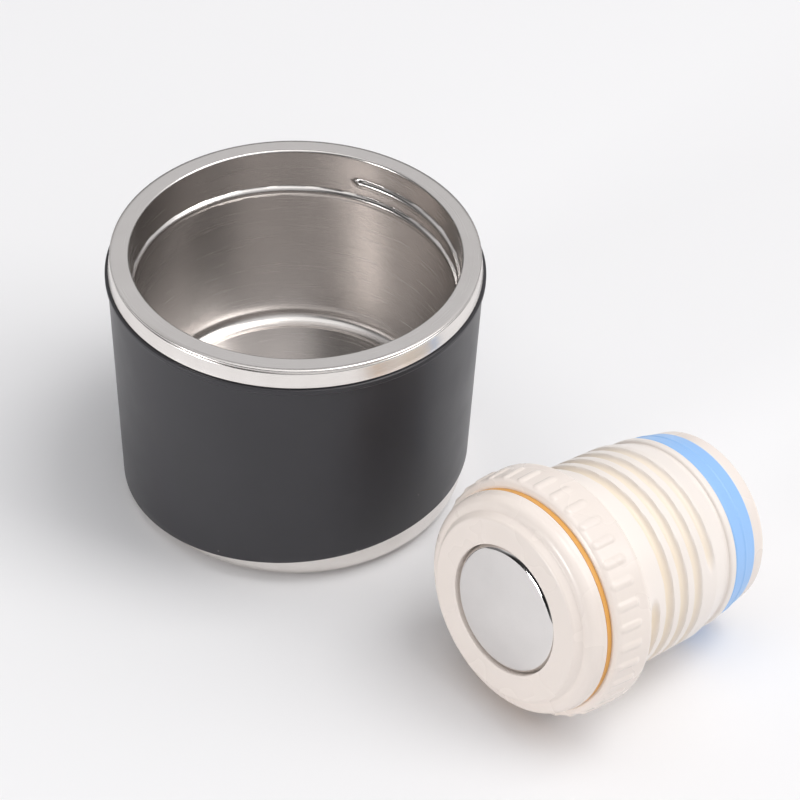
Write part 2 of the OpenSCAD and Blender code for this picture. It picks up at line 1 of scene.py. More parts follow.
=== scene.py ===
"""Looks of a steel flask cup and its push-button pouring stopper.

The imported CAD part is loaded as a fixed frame. The pieces that show are modelled again with finer
edges, a rolled thread and moulded grip ribs, and every piece gets a procedural finish.
"""

from __future__ import annotations

import logging
import math
from collections.abc import Callable, Iterable
from dataclasses import dataclass, field
from enum import Enum

import bmesh
import bpy
from mathutils import Matrix, Vector

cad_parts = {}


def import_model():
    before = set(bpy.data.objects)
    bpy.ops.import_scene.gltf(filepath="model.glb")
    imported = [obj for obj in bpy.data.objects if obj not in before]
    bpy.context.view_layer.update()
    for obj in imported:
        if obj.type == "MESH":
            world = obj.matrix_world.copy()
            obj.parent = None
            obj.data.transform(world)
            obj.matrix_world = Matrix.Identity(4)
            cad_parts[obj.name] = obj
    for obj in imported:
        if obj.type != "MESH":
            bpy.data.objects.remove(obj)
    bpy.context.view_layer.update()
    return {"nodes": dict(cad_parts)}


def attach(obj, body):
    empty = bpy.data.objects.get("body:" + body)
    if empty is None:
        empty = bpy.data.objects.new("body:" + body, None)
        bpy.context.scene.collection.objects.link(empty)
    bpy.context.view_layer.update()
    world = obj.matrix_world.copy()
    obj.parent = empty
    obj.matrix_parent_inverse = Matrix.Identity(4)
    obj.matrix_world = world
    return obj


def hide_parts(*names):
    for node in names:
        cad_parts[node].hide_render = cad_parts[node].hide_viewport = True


LOG = logging.getLogger("flask_cup")
MM = 0.001
# Lengths in metres: points closer than these are joined at a seam, or are the same spot
SEAM = 2e-6
SAME_SPOT = 1e-7
Point = tuple[float, float]
Point3 = tuple[float, float, float]
Colour = tuple[float, float, float]
Piece = bpy.types.Object
Material = bpy.types.Material
Socket = bpy.types.NodeSocket


class Body(Enum):
    """The rigid bodies that the new pieces ride on."""

    CUP = "cup"
    STOPPER = "stopper"
    BUTTON = "button"


class Slot(Enum):
    """The record's material slots, passed with the new pieces but not used."""

    STEEL = "steel"
    SLEEVE = "sleeve_black"
    IVORY = "ivory"
    BLUE = "blue"
    CHROME = "chrome"


class Ends(Enum):
    """How an outline is turned: as an open line or as a closed loop."""

    OPEN = "open"
    LOOP = "loop"


def arc(centre: Point, radius: float, start: float, end: float, steps: int = 8) -> list[Point]:
    """Points of a round arc in the outline's plane.

    Args:
        centre: Middle of the arc, as radius and height in millimetres.
        radius: Radius of the arc in millimetres.
        start: First angle in degrees.
        end: Last angle in degrees.
        steps: Number of straight steps.

    Returns:
        The points from start to end.
    """
    angles = [math.radians(start + (end - start) * i / steps) for i in range(steps + 1)]
    return [(centre[0] + radius * math.cos(a), centre[1] + radius * math.sin(a)) for a in angles]


def rows(start: Point, end: Point, step: float) -> list[Point]:
    """Evenly spaced points of a straight line, both ends included.

    Args:
        start: First point in millimetres.
        end: Last point in millimetres.
        step: Largest distance between two points in millimetres.

    Returns:
        The points from start to end.
    """
    count = max(1, math.ceil(math.dist(start, end) / step))
    return [
        (start[0] + (end[0] - start[0]) * i / count, start[1] + (end[1] - start[1]) * i / count)
        for i in range(count + 1)
    ]


def soft_rise(value: float, softness: float) -> float:
    """Clips a value at zero with a rounded corner.

    Args:
        value: The value to clip.
        softness: Size of the rounded corner.

    Returns:
        The value where it is well above zero, and nearly zero below it.
    """
    nothing = -6 * softness
    return 0.5 * (value + math.hypot(value, softness)) if value > nothing else 0.0


def round_height(radius: float, away: float) -> float:
    """Height of a round bar's surface over its middle line.

    Args:
        radius: Radius of the bar in millimetres.
        away: Distance from the middle line in millimetres.

    Returns:
        The height in millimetres, and below zero beside the bar.
    """
    return math.sqrt(radius * radius - away * away) if away < radius else radius - away


@dataclass(frozen=True)
class ScrewLine:
    """A right-hand screw line about the Z axis.

    Attributes:
        radius: Radius of the line in millimetres.
        low: Height of its lower end in millimetres.
        turn: Angle of its lower end in degrees.
        pitch: Rise of one turn in millimetres.
        turns: Number of turns.
    """

    radius: float
    low: float
    turn: float
    pitch: float
    turns: float

    def nearest(self, point: Vector) -> Point:
        """Finds the nearest turn of the line.

        Args:
            point: A point on the wall in millimetres.

        Returns:
            The distance to that turn, and the way from there along the line to its nearer end.
        """
        share = ((math.degrees(math.atan2(point.y, point.x)) - self.turn) / 360) % 1.0
        best = (math.inf, 0.0)
        around = math.tau * self.radius
        for whole in range(-1, math.ceil(self.turns) + 1):
            place = share + whole
            held = min(max(place, 0.0), self.turns)
            across = point.z - self.low - self.pitch * held
            away = math.hypot((place - held) * around, across)
            best = min(best, (away, min(held, self.turns - held) * around))
        return best


class Bench:
    """Models meshes with Blender's operators, one piece at a time."""

    @staticmethod
    def clear() -> None:
        """Leaves edit mode and deselects everything."""
        if bpy.context.object and bpy.context.object.mode != "OBJECT":
            bpy.ops.object.mode_set(mode="OBJECT")
        bpy.ops.object.select_all(action="DESELECT")

    @staticmethod
    def pick(obj: Piece) -> None:
        """Makes one object the only selected and active one."""
        Bench.clear()
        obj.select_set(True)
        bpy.context.view_layer.objects.active = obj

    @staticmethod
    def choose(obj: Piece, test: Callable[[Vector], bool]) -> None:
        """Selects the points of the edited mesh that pass a test.

        Args:
            obj: The object in edit mode.
            test: Says of a point, in metres, whether it is taken.
        """
        mesh = bmesh.from_edit_mesh(obj.data)
        for vert in mesh.verts:
            vert.select_set(test(vert.co))
        mesh.select_flush_mode()
        bmesh.update_edit_mesh(obj.data)

    @staticmethod
    def turn(name: str, outline: list[Point], steps: int, ends: Ends = Ends.LOOP) -> Piece:
        """Turns an outline about the Z axis.

        Args:
            name: Name of the new object.
            outline: Radius and height of each point in millimetres.
            steps: Number of steps round the axis.
            ends: Whether the outline's last point joins its first.

        Returns:
            The round object, with closed seams and outward faces.
        """
        Bench.clear()
        spots = [Vector((r * MM, 0, z * MM)) for r, z in outline]
        bpy.ops.mesh.primitive_plane_add(size=MM, location=(0, 0, 0))
        obj = bpy.context.object
        obj.name = name
        obj.data.name = name
        bpy.ops.object.mode_set(mode="EDIT")
        bpy.ops.mesh.select_all(action="SELECT")
        bpy.ops.mesh.merge(type="CENTER")
        bpy.ops.transform.translate(value=spots[0])
        for before, after in zip(spots, spots[1:]):
            bpy.ops.mesh.extrude_region_move(TRANSFORM_OT_translate={"value": after - before})
        if ends is Ends.LOOP:
            Bench.choose(obj, lambda co: min((co - spots[0]).length, (co - spots[-1]).length) < SAME_SPOT)
            bpy.ops.mesh.edge_face_add()
        bpy.ops.mesh.select_all(action="SELECT")
        bpy.ops.mesh.spin(steps=steps, angle=math.tau, center=(0, 0, 0), axis=(0, 0, 1))
        bpy.ops.mesh.select_all(action="SELECT")
        bpy.ops.mesh.remove_doubles(threshold=SEAM)
        Bench.face_out()
        bpy.ops.object.mode_set(mode="OBJECT")
        return obj

    @staticmethod
    def face_out() -> None:
        """Turns all faces of the edited mesh outwards."""
        bpy.ops.mesh.select_all(action="SELECT")
        bpy.ops.mesh.normals_make_consistent(inside=False)

    @staticmethod
    def press(obj: Piece, depth: Callable[[Vector], float], most: float, shade: str = "") -> None:
        """Pushes the surface in or out along its normals.

        Args:
            obj: The object to shape.
            depth: Distance to push at a point given in millimetres.
            most: The largest distance; below zero pushes inwards.
            shade: Name of a mesh attribute that keeps each point's share of the push, which a material can
                turn into painted shade.
        """
        Bench.pick(obj)
        group = obj.vertex_groups.new(name="press")
        shares = [min(1.0, max(0.0, depth(v.co / MM) / abs(most))) for v in obj.data.vertices]
        for index, share in enumerate(shares):
            if share > 0:
                group.add([index], share, "REPLACE")
        push = obj.modifiers.new("press", "DISPLACE")
        push.vertex_group = group.name
        push.mid_level = 0.0
        push.strength = most * MM
        bpy.ops.object.modifier_apply(modifier=push.name)
        obj.vertex_groups.clear()
        if shade:
            kept = obj.data.attributes.new(shade, "FLOAT", "POINT")
            kept.data.foreach_set("value", shares)

    @staticmethod
    def finish(obj: Piece, angle: float = 35.0) -> None:
        """Shades a piece smoothly, with edges sharper than the angle kept."""
        Bench.pick(obj)
        bpy.ops.object.shade_smooth_by_angle(angle=math.radians(angle))
        Bench.clear()

    @staticmethod
    def lay(obj: Piece, place: Matrix) -> None:
        """Moves an upright piece to its place and keeps the place in its mesh."""
        Bench.pick(obj)
        obj.matrix_world = place
        bpy.context.view_layer.update()
        bpy.ops.object.transform_apply(location=True, rotation=True, scale=True)
        Bench.clear()


class Graph:
    """Builds a node material step by step."""

    def __init__(self, name: str) -> None:
        """Starts a material with an empty surface shader."""
        self.material = bpy.data.materials.new(name)
        self.material.use_nodes = True
        self.tree = self.material.node_tree
        self.shader = self.tree.nodes["Principled BSDF"]

    def add(self, kind: str, **settings: object) -> bpy.types.Node:
        """Adds a node.

        Args:
            kind: The node's type.
            settings: Properties of the node; a key with spaces for underscores may name an input.

        Returns:
            The new node.
        """
        node = self.tree.nodes.new(kind)
        for key, value in settings.items():
            if hasattr(node, key):
                setattr(node, key, value)
            else:
                node.inputs[key.replace("_", " ")].default_value = value
        return node

    def link(self, out: Socket, into: Socket) -> None:
        """Links two sockets."""
        self.tree.links.new(out, into)

    def place(self) -> Socket:
        """Returns the object coordinates."""
        return self.add("ShaderNodeTexCoord").outputs["Object"]

    def noise(self, scale: float, detail: float, place: Socket | None = None) -> Socket:
        """Adds a noise pattern.

        Args:
            scale: Cells to a metre.
            detail: Octaves of the noise.
            place: Coordinates; the object's own if left out.

        Returns:
            The noise value.
        """
        node = self.add("ShaderNodeTexNoise", Scale=scale, Detail=detail, Roughness=0.55)
        self.link(place or self.place(), node.inputs["Vector"])
        return node.outputs["Fac"]

    def spread(self, value: Socket, low: float, high: float,
               start: float = 0.3, end: float = 0.7) -> Socket:
        """Maps a value from one range to another.

        Args:
            value: The value to map.
            low: Result at the start of its range.
            high: Result at the end of its range.
            start: Start of the range.
            end: End of the range.

        Returns:
            The mapped value.
        """
        node = self.add("ShaderNodeMapRange")
        self.link(value, node.inputs["Value"])
        for socket, number in zip(("From Min", "From Max", "To Min", "To Max"), (start, end, low, high)):
            node.inputs[socket].default_value = number
        return node.outputs["Result"]

    def blend(self, share: Socket, first: Colour | Socket, second: Colour) -> Socket:
        """Mixes two colours.

        Args:
            share: How much of the second colour shows.
            first: The first colour, or a socket that gives it.
            second: The second colour.

        Returns:
            The mixed colour.
        """
        node = self.add("ShaderNodeMix", data_type="RGBA")
        self.link(share, node.inputs["Factor"])
        if isinstance(first, tuple):
            node.inputs[6].default_value = (*first, 1.0)
        else:
            self.link(first, node.inputs[6])
        node.inputs[7].default_value = (*second, 1.0)
        return node.outputs[2]

    def set(self, **values: object) -> None:
        """Sets or links inputs of the surface shader, by name with _ for a space."""
        for key, value in values.items():
            socket = self.shader.inputs[key.replace("_", " ")]
            if isinstance(value, Socket):
                self.link(value, socket)
            elif isinstance(value, tuple):
                socket.default_value = (*value, 1.0)
            else:
                socket.default_value = value

    def bump(self, height: Socket, strength: float, distance: float) -> None:
        """Adds fine relief.

        Args:
            height: The relief's height.
            strength: How much of it shows.
            distance: Its depth in millimetres.
        """
        node = self.add("ShaderNodeBump", Strength=strength, Distance=distance * MM)
        self.link(height, node.inputs["Height"])
        self.link(node.outputs["Normal"], self.shader.inputs["Normal"])


@dataclass(frozen=True)
class TurnedSteel:
    """Bare steel with fine lines that run round the cup's axis.

    Attributes:
        name: Name of the material.
        light: Colour of the lighter patches.
        dark: Colour of the darker patches.
        roughness: Least and largest roughness.
        lines: Fine lines to a metre.
        relief: How much the lines stand out.
        anisotropy: How far reflections are drawn out across the lines.
    """

    name: str
    light: Colour
    dark: Colour
    roughness: Point
    lines: float
    relief: float
    anisotropy: float

    def material(self) -> Material:
        """Returns the material."""
        graph = Graph(self.name)
        place = graph.place()
        flat = graph.add("ShaderNodeVectorMath", operation="MULTIPLY")
        graph.link(place, flat.inputs[0])
        flat.inputs[1].default_value = (1, 1, 0)
        way = graph.add("ShaderNodeVectorMath", operation="NORMALIZE")
        graph.link(flat.outputs["Vector"], way.inputs[0])
        reach = graph.add("ShaderNodeVectorMath", operation="LENGTH")
        graph.link(flat.outputs["Vector"], reach.inputs[0])
        parts = graph.add("ShaderNodeSeparateXYZ")
        graph.link(place, parts.inputs[0])
        climb = graph.add("ShaderNodeMath", operation="ADD")
        graph.link(reach.outputs["Value"], climb.inputs[0])
        graph.link(parts.outputs["Z"], climb.inputs[1])
        fine = graph.add("ShaderNodeMath", operation="MULTIPLY")
        fine.inputs[1].default_value = self.lines
        graph.link(climb.outputs[0], fine.inputs[0])
        turn = graph.add("ShaderNodeSeparateXYZ")
        graph.link(way.outputs["Vector"], turn.inputs[0])
        line_place = graph.add("ShaderNodeCombineXYZ")
        graph.link(turn.outputs["X"], line_place.inputs["X"])
        graph.link(turn.outputs["Y"], line_place.inputs["Y"])
        graph.link(fine.outputs[0], line_place.inputs["Z"])
        lines = graph.noise(scale=1.6, detail=3.0, place=line_place.outputs[0])
        haze = graph.noise(scale=160.0, detail=5.0)
        graph.set(
            Base_Color=graph.blend(graph.spread(haze, low=0.0, high=1.0), self.dark, self.light),
            Metallic=1.0,
            Roughness=graph.spread(lines, *self.roughness),
            Anisotropic=self.anisotropy,
        )
        graph.bump(lines, self.relief, distance=0.05)
        tangent = graph.add("ShaderNodeTangent", direction_type="RADIAL", axis="Z")
        graph.link(tangent.outputs[0], graph.shader.inputs["Tangent"])
        return graph.material


@dataclass(frozen=True)
class SatinBlack:
    """Satin black coat with a soft grain and a few pale specks of dust.

    Attributes:
        name: Name of the material.
        colour: Colour of the coat.
        speck: Colour of a speck.
        roughness: Least and largest roughness.
    """

    name: str
    colour: Colour
    speck: Colour
    roughness: Point

    def material(self) -> Material:
        """Returns the material."""
        graph = Graph(self.name)
        grain = graph.noise(scale=5200.0, detail=3.0)
        dust = graph.add("ShaderNodeTexVoronoi", feature="F1", Scale=95.0, Randomness=1.0)
        graph.link(graph.place(), dust.inputs["Vector"])
        near = graph.spread(dust.outputs["Distance"], low=0.55, high=0.0, start=0.016, end=0.03)
        cloud = graph.noise(scale=70.0, detail=4.0)
        lighter = tuple(1.25 * c for c in self.colour)
        coat = graph.blend(graph.spread(cloud, low=0.0, high=1.0), self.colour, lighter)
        graph.set(
            Base_Color=graph.blend(near, coat, self.speck),
            Roughness=graph.spread(cloud, *self.roughness),
            Specular_IOR_Level=0.5,
        )
        graph.bump(grain, strength=0.12, distance=0.02)
        return graph.material


@dataclass(frozen=True)
class Moulding:
    """Smooth moulded plastic or silicone.

    Attributes:
        name: Name of the material.
        colour: Colour of the material.
        deep: Colour that faint random patches lean towards, and the colour of painted shade in grooves.
        roughness: Least and largest roughness.
        grain: Relief of the moulded skin.
        shade: Mesh attribute that says how deep a point lies, if there is one; deeper points get painted
            shade.
    """

    name: str
    colour: Colour
    deep: Colour
    roughness: Point
    grain: float
    shade: str = ""

    def material(self) -> Material:
        """Returns the material."""
        graph = Graph(self.name)
        cloud = graph.noise(scale=60.0, detail=2.0)
        tint = graph.blend(graph.spread(cloud, low=0.0, high=0.06), self.colour, self.deep)
        # Painted shade: points deep in a groove are tinted towards the deep colour.
        if self.shade:
            depth = graph.add("ShaderNodeAttribute", attribute_name=self.shade)
            inside = graph.spread(depth.outputs["Fac"], low=0.0, high=0.85, start=0.05, end=1.0)
            tint = graph.blend(inside, tint, self.deep)
        graph.set(Base_Color=tint, Roughness=graph.spread(cloud, *self.roughness))
        graph.bump(graph.noise(scale=420.0, detail=1.0), self.grain, distance=0.02)
        return graph.material


@dataclass(frozen=True)
class BrightMetal:
    """Bright metal with faint wipe marks.

    Attributes:
        name: Name of the material.
        colour: Colour of the metal.
        roughness: Least and largest roughness.
        relief: Relief of the wipe marks.
    """

    name: str
    colour: Colour
    roughness: Point
    relief: float

    def material(self) -> Material:
        """Returns the material."""
        graph = Graph(self.name)
        wipes = graph.noise(scale=90.0, detail=4.0)
        dull = tuple(0.8 * c for c in self.colour)
        graph.set(
            Base_Color=graph.blend(graph.spread(wipes, low=0.0, high=0.35), self.colour, dull),
            Metallic=1.0,
            Roughness=graph.spread(wipes, *self.roughness),
        )
        graph.bump(graph.noise(scale=900.0, detail=2.0), self.relief, distance=0.01)
        return graph.material


@dataclass
class Finishes:
    """All finishes of the object, as materials."""

    liner: Material = field(init=False)
    wall: Material = field(init=False)
    sleeve: Material = field(init=False)
    ivory: Material = field(init=False)
    ivory_thread_painted_light: Material = field(init=False)
    amber: Material = field(init=False)
    blue: Material = field(init=False)
    chrome: Material = field(init=False)
    spring: Material = field(init=False)
    soft: Material = field(init=False)
    grey: Material = field(init=False)

    def __post_init__(self) -> None:
        """Makes every material once."""
        # Colour of faint random patches on all ivory, and of the painted shade in the thread's grooves.
        ivory_tone_and_groove_shade = (0.86, 0.735, 0.55)
        self.liner = TurnedSteel(
            "turned_steel", light=(0.71, 0.68, 0.66), dark=(0.68, 0.65, 0.63),
            roughness=(0.245, 0.275), lines=5200.0, relief=0.006, anisotropy=0.2).material()
        # Partly painted light: the outer steel's colour is lifted above the liner's to brighten the bare
        # band and foot; its lower roughness and stronger lines are the steel's own finish.
        self.wall = TurnedSteel(
            "bright_steel_painted_light", light=(0.86, 0.825, 0.795), dark=(0.80, 0.765, 0.735),
            roughness=(0.20, 0.28), lines=5200.0, relief=0.05, anisotropy=0.3).material()
        self.sleeve = SatinBlack(
            "satin_black", colour=(0.0213, 0.0202, 0.0245), speck=(0.32, 0.31, 0.30),
            roughness=(0.34, 0.42)).material()
        self.ivory = Moulding(
            "ivory", colour=(0.88, 0.795, 0.738), deep=ivory_tone_and_groove_shade,
            roughness=(0.24, 0.31), grain=0.03).material()
        # Painted light: the thread's ivory is a lighter copy of the ivory above, to brighten the neck; its
        # grooves also get painted shade.
        self.ivory_thread_painted_light = Moulding(
            "ivory_thread_painted_light", colour=(0.905, 0.838, 0.79), deep=ivory_tone_and_groove_shade,
            roughness=(0.30, 0.36), grain=0.03, shade="groove").material()
        self.amber = Moulding(
            "amber", colour=(0.80, 0.41, 0.10), deep=(0.60, 0.26, 0.05),
            roughness=(0.35, 0.45), grain=0.05).material()
        self.blue = Moulding(
            "light_blue", colour=(0.32, 0.56, 0.94), deep=(0.25, 0.48, 0.90),
            roughness=(0.36, 0.46), grain=0.06).material()
        self.chrome = BrightMetal(
            "chrome", colour=(0.78, 0.755, 0.74), roughness=(0.05, 0.12), relief=0.002).material()
        self.spring = BrightMetal(
            "spring_wire", colour=(0.56, 0.56, 0.57), roughness=(0.25, 0.35), relief=0.05).material()
        self.soft = Moulding(
            "milky_silicone", colour=(0.74, 0.74, 0.70), deep=(0.62, 0.62, 0.58),
            roughness=(0.4, 0.5), grain=0.08).material()
        self.grey = Moulding(
            "plain_moulding", colour=(0.66, 0.64, 0.61), deep=(0.55, 0.53, 0.50),
            roughness=(0.4, 0.5), grain=0.08).material()


def dress(obj: Piece, finish: Material, body: Body, slot: Slot, *nodes: str) -> None:
    """Gives a new piece its finish and its body, and hides the CAD nodes that it stands for.

    Args:
        obj: The finished piece.
        finish: Its material.
        body: The body that it rides on.
        slot: The record's material slot; not used.
        nodes: The CAD nodes that it replaces.
    """
    obj.data.materials.clear()
    obj.data.materials.append(finish)
    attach(obj, body.value)
    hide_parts(*nodes)
    LOG.info("%s: %d faces, rides on %s", obj.name, len(obj.data.polygons), body.value)


@dataclass
class Cup:
    """The drinking cup. Sizes are in millimetres.

    Attributes:
        finishes: The object's materials.
        height: Height of the rim.
        mouth: Radius of the mouth.
        rim: Outer radius of the flat rim.
        sheet: Thickness of the steel sheet.
        land_low: Height where the plain land ends and the thread's wall starts.
        zone_low: Height where the thread's wall ends.
        zone: Radius of the thread's wall at its lower end.
        bead: Radius of the rolled thread's round bar.
        bead_proud: How far the rolled thread stands out.
        bead_pitch: Rise of one of its turns.
        bead_turns: Number of its turns.
        bead_end: Direction of its upper end in degrees.
        bead_top: Height of its upper edge.
        floor: Height of the drinking floor.
        floor_rise: Rise of the floor's raised middle.
        floor_disc: Radius of the raised middle.
        low: Radius of the liner's wall at the floor.
        fillet: Fillet between wall and floor.
        band: Outer radius of the steel band's lower edge.
        band_low: Height of the band's lower edge.
        foot: Rounding of the foot.
        base: Radius of the opening that the base disc closes.
        coat: Thickness of the sleeve.
        sleeve_top: Outer radius of the sleeve under its lip.
        sleeve_low: Outer radius of the sleeve at the table.
        lip: How far the sleeve's lip stands proud.
        edge: Height of the sleeve's lower edge at the axis.
        slant: Slant of the lower edge in degrees.
        slant_turn: Direction in which the lower edge is highest, in degrees.
        steps: Steps round the cup.
    """

    finishes: Finishes
    height: float = 64.8
    mouth: float = 37.1
    rim: float = 41.5
    sheet: float = 0.7
    land_low: float = 59.4
    zone_low: float = 49.0
    zone: float = 36.75
    bead: float = 1.3
    bead_proud: float = 0.85
    bead_pitch: float = 4.5
    bead_turns: float = 1.5
    bead_end: float = 66.0
    bead_top: float = 59.0
    floor: float = 16.0
    floor_rise: float = 0.3
    floor_disc: float = 31.6
    low: float = 35.5
    fillet: float = 3.0
    band: float = 42.0
    band_low: float = 60.1
    foot: float = 4.8
    base: float = 30.0
    coat: float = 0.9
    sleeve_top: float = 42.15
    sleeve_low: float = 40.4
    lip: float = 0.5
    edge: float = 5.8
    slant: float = 5.2
    slant_turn: float = -21.0
    steps: int = 256

    def coat_radius(self, z: float) -> float:
        """Returns the sleeve's outer radius at a height."""
        return self.sleeve_low + (self.sleeve_top - self.sleeve_low) * z / self.band_low

    def bead_rise(self, point: Vector) -> float:
        """Says how far the rolled thread stands out of the liner's wall.

        Args:
            point: A point of the liner in millimetres.

        Returns:
            The rise in millimetres, 0 away from the inner wall.
        """
        inner_side = self.mouth + 0.2
        if math.hypot(point.x, point.y) >= inner_side:
            return 0.0
        low = self.bead_top - self.bead - self.bead_pitch * self.bead_turns
        start = self.bead_end - 360.0 * self.bead_turns
        line = ScrewLine(self.zone, low, start, self.bead_pitch, self.bead_turns)
        away = line.nearest(point)[0]
        rise = soft_rise(self.bead_proud - self.bead + round_height(self.bead, away), softness=0.26)
        return min(self.bead_proud, rise)

    def build_liner(self) -> None:
        """Models the inner shell: rim, land, rolled thread, wall and floor."""
        mouth_edge, rim_edge, rim_slope, disc_edge = 0.6, 0.35, 1.35, 0.8
        fillet_at = (self.low - self.fillet, self.floor + self.fillet)
        rim_low = self.height - self.sheet
        disc, disc_top = self.floor_disc - 0.5, self.floor + self.floor_rise
        disc_foot = self.floor_disc + 2 * self.floor_rise + 0.1
        bead_step = 0.18
        outline = [
            (0.0, disc_top),
            *rows((12.0, disc_top), (disc, disc_top), 8.0),
            *arc((disc, disc_top - disc_edge), disc_edge, 84, 62, 3),
            *arc((disc_foot, self.floor + disc_edge), disc_edge, 242, 270, 4),
            *arc(fillet_at, self.fillet, -88, -2, 12),
            *rows((self.low + 0.03, fillet_at[1] + 1), (self.zone - 0.02, self.zone_low - 1), 4.0),
            *rows((self.zone, self.zone_low), (self.mouth - 0.01, self.land_low), bead_step),
            *rows((self.mouth, self.land_low + 0.8), (self.mouth, self.height - mouth_edge - 0.3), 1.0),
            *arc((self.mouth + mouth_edge, self.height - mouth_edge), mouth_edge, 180, 90, 10),
            *rows((self.mouth + mouth_edge + 0.4, self.height), (self.rim - rim_slope, self.height), 1.0),
            *arc((self.rim - 1.0, self.height - rim_slope), rim_slope, 96, 72, 4),
            *arc((self.rim - rim_edge, self.height - rim_edge - 0.1), rim_edge, 60, -20, 6),
            (self.rim - 0.12, rim_low + 0.06),
            (self.rim - 0.4, rim_low),
            (self.mouth + self.sheet, rim_low),
            (self.mouth + self.sheet, self.zone_low),
            *arc(fillet_at, self.fillet + self.sheet, 0, -90, 6),
            (0.0, self.floor - self.sheet),
        ]
        obj = Bench.turn("cup_inner_shell", outline, self.steps, Ends.OPEN)
        Bench.press(obj, self.bead_rise, self.bead_proud)
        Bench.finish(obj, 40.0)
        dress(obj, self.finishes.liner, Body.CUP, Slot.STEEL, "cup_liner")

    def build_wall(self) -> None:
        """Models the outer shell: bare band, sleeve seat and rounded foot."""
        shoulder, edge, seat_low = 0.55, 0.3, 14.0
        seat = self.coat + 0.05
        foot_at = (self.coat_radius(self.foot) - seat - self.foot, self.foot)
        rim_low = self.height - self.sheet
        top_seat = self.coat_radius(self.band_low) - seat
        inside = self.rim - self.sheet - 0.5
        outline = [
            (inside, rim_low),
            (self.rim - shoulder - 0.05, rim_low),
            *arc((self.rim - shoulder, rim_low - shoulder), shoulder + 0.05, 80, 6, 8),
            *rows((self.rim + 0.08, rim_low - 0.8), (self.band - 0.06, self.band_low + 0.5), 1.0),
            *arc((self.band - edge, self.band_low + edge), edge, 10, -80, 6),
            (self.band - 2 * edge, self.band_low),
            (top_seat, self.band_low - 0.02),
            *rows((top_seat - 0.02, self.band_low - 1), (self.coat_radius(seat_low) - seat, seat_low), 12.0),
            *arc(foot_at, self.foot, 0, -90, 18),
            *rows((foot_at[0] - 0.8, 0.0), (self.base + 0.4, 0.0), 1.5),
            *arc((self.base + edge, edge), edge, 270, 180, 4),
            (self.base, self.sheet),
            *arc(foot_at, self.foot - self.sheet, -90, 0, 8),
            (top_seat - self.sheet, self.band_low - self.sheet),
            (inside, self.band_low + self.sheet),
        ]
        obj = Bench.turn("cup_outer_shell", outline, self.steps)
        Bench.finish(obj)
        dress(obj, self.finishes.wall, Body.CUP, Slot.STEEL, "cup_wall")

    def build_sleeve(self) -> None:
        """Models the sleeve: lip, slanted lower edge and rounded cut."""
        lip_edge, lip_tall, lip_foot, soft, low = 0.22, 0.9, 58.0, 0.3, 0.5
        coat = self.coat_radius(self.band_low)
        lip = coat + self.lip
        top = self.band_low - 0.03
        outline = [
            (coat - self.coat, top),
            *rows((coat - 0.2, top), (lip - soft, top), 0.3),
            *arc((lip - lip_edge, top - lip_edge), lip_edge, 85, 0, 6),
            (lip, top - lip_tall),
            *arc((lip - soft, top - lip_tall - 0.05), soft, -5, -50, 3),
            *arc((self.coat_radius(lip_foot) + soft + 0.02, lip_foot + 0.25), soft, 150, 180, 3),
            *rows((self.coat_radius(lip_foot - 1), lip_foot - 1), (self.coat_radius(low), low), 3.0),
        ]
        obj = Bench.turn("cup_sleeve_coat", outline, self.steps, Ends.OPEN)
        Bench.pick(obj)
        lean, turn = math.radians(self.slant), math.radians(self.slant_turn)
        up = Vector((-math.sin(lean) * math.cos(turn), -math.sin(lean) * math.sin(turn), math.cos(lean)))
        bpy.ops.object.mode_set(mode="EDIT")
        bpy.ops.mesh.select_all(action="SELECT")
        bpy.ops.mesh.bisect(
            plane_co=(0, 0, self.edge * MM), plane_no=up, clear_inner=True, threshold=SAME_SPOT)
        Bench.face_out()
        bpy.ops.object.mode_set(mode="OBJECT")
        wall = obj.modifiers.new("wall", "SOLIDIFY")
        wall.thickness = (self.coat - 0.02) * MM
        wall.offset = -1.0
        bpy.ops.object.modifier_apply(modifier=wall.name)
        round_edge = obj.modifiers.new("round", "BEVEL")
        cut_edge = 0.14
        round_edge.width = cut_edge * MM
        round_edge.segments = 3
        round_edge.limit_method = "ANGLE"
        round_edge.angle_limit = math.radians(60)
        bpy.ops.object.modifier_apply(modifier=round_edge.name)
        Bench.finish(obj)
        dress(obj, self.finishes.sleeve, Body.CUP, Slot.SLEEVE, "cup_sleeve")

    def build(self) -> None:
        """Builds the cup's pieces."""
        self.build_liner()
        self.build_wall()
        self.build_sleeve()


